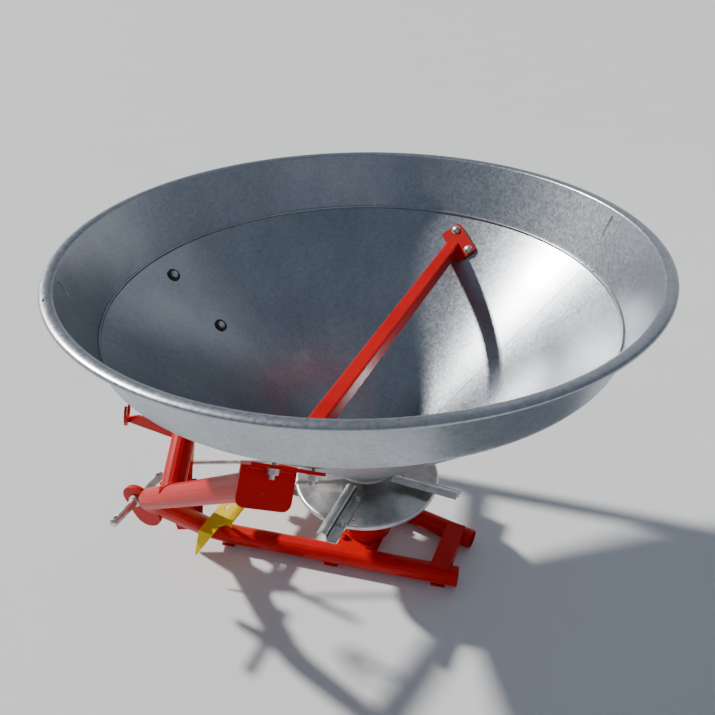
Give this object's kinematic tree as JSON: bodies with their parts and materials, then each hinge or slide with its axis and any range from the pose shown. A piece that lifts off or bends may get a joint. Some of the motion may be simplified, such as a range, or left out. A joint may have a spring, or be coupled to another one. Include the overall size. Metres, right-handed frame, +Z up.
{
  "type": "tractor-mounted fertiliser spreader",
  "caption": "Conical galvanised hopper on a bent red tube frame, with a driven spinning disc and vanes, metering gate, control lever and three-point hitch.",
  "frame": {"origin": "on the ground, under the hopper's axis", "axes": "+Z up; -X towards the tractor; -Y is the left side, with the control lever"},
  "size_m": [1.3, 1.3, 0.933],
  "materials": {
    "galvanised": "hot-dip galvanised, spangled and streaked",
    "red_paint": "gloss paint",
    "zinc": "bright zinc plate",
    "stainless": "satin sheet",
    "dark_steel": "machined, oiled",
    "yellow_paint": "gloss paint"
  },
  "bodies": {
    "frame": {"hopper_cone": "galvanised", "hopper_band": "galvanised", "brace_bar": "red_paint", "brace_flange_left": "red_paint", "brace_flange_right": "red_paint", "side_bracket_left": "red_paint", "side_bracket_right": "red_paint", "front_strap": "red_paint", "top_link_plate_left": "red_paint", "top_link_plate_right": "red_paint", "frame_rail_left": "red_paint", "frame_rail_right": "red_paint", "mast_leg_left": "red_paint", "mast_leg_right": "red_paint", "rear_cross_bar": "red_paint", "foot_front_left": "red_paint", "foot_front_right": "red_paint", "foot_middle_left": "red_paint", "foot_middle_right": "red_paint", "foot_rear_left": "red_paint", "foot_rear_right": "red_paint", "hitch_lug_left": "red_paint", "hitch_lug_right": "red_paint", "shaft_rest": "red_paint", "gearbox_plate": "red_paint", "gearbox_housing": "red_paint", "gearbox_cover": "red_paint", "quadrant": "red_paint", "hopper_bolt_front_left": "zinc", "hopper_bolt_front_right": "zinc", "hopper_bolt_rear_left": "zinc", "hopper_bolt_rear_right": "zinc", "front_bolt_upper": "zinc", "front_bolt_lower": "zinc", "top_link_pin": "zinc", "hitch_pin_left": "zinc", "hitch_pin_right": "zinc", "lever_pivot": "zinc", "outlet_ring": "stainless", "hopper_floor": "stainless", "gate_guide": "stainless", "input_bearing_front": "dark_steel", "input_bearing_rear": "dark_steel", "upright_bearing_lower": "dark_steel", "upright_bearing_upper": "dark_steel", "drive_guard": "yellow_paint"},
    "spinner": {"upright_shaft": "dark_steel", "crown_gear": "dark_steel", "spinner_disc": "stainless", "vane_1": "stainless", "vane_2": "stainless", "vane_3": "stainless", "vane_4": "stainless", "agitator": "dark_steel"},
    "drive": {"drive_shaft": "dark_steel", "pinion": "dark_steel"},
    "gate": {"metering_gate": "stainless", "control_rod": "zinc"},
    "lever": {"control_lever": "red_paint"}
  },
  "joints": [
    {"name": "disc_spin", "type": "hinge", "parent": "frame", "child": "spinner", "pos_m": [0, 0, 0.247], "axis": [0, 0, 1], "continuous": true},
    {"name": "drive_spin", "type": "hinge", "parent": "frame", "child": "drive", "pos_m": [0, 0, 0.101], "axis": [1, 0, 0], "continuous": true},
    {"name": "gate_slide", "type": "slide", "parent": "frame", "child": "gate", "axis": [-0.9252, -0.3795, 0], "range_m": [0, 0.05]},
    {"name": "lever_swing", "type": "hinge", "parent": "frame", "child": "lever", "pos_m": [-0.46538, -0.19087, 0.165], "axis": [0.3795, -0.9252, 0], "range_deg": [0, 22.5]}
  ],
  "couplings": [
    {"joint": "drive_spin", "follows": "disc_spin", "ratio": 1},
    {"joint": "lever_swing", "follows": "gate_slide", "rad_per_m": 7.7746}
  ]
}
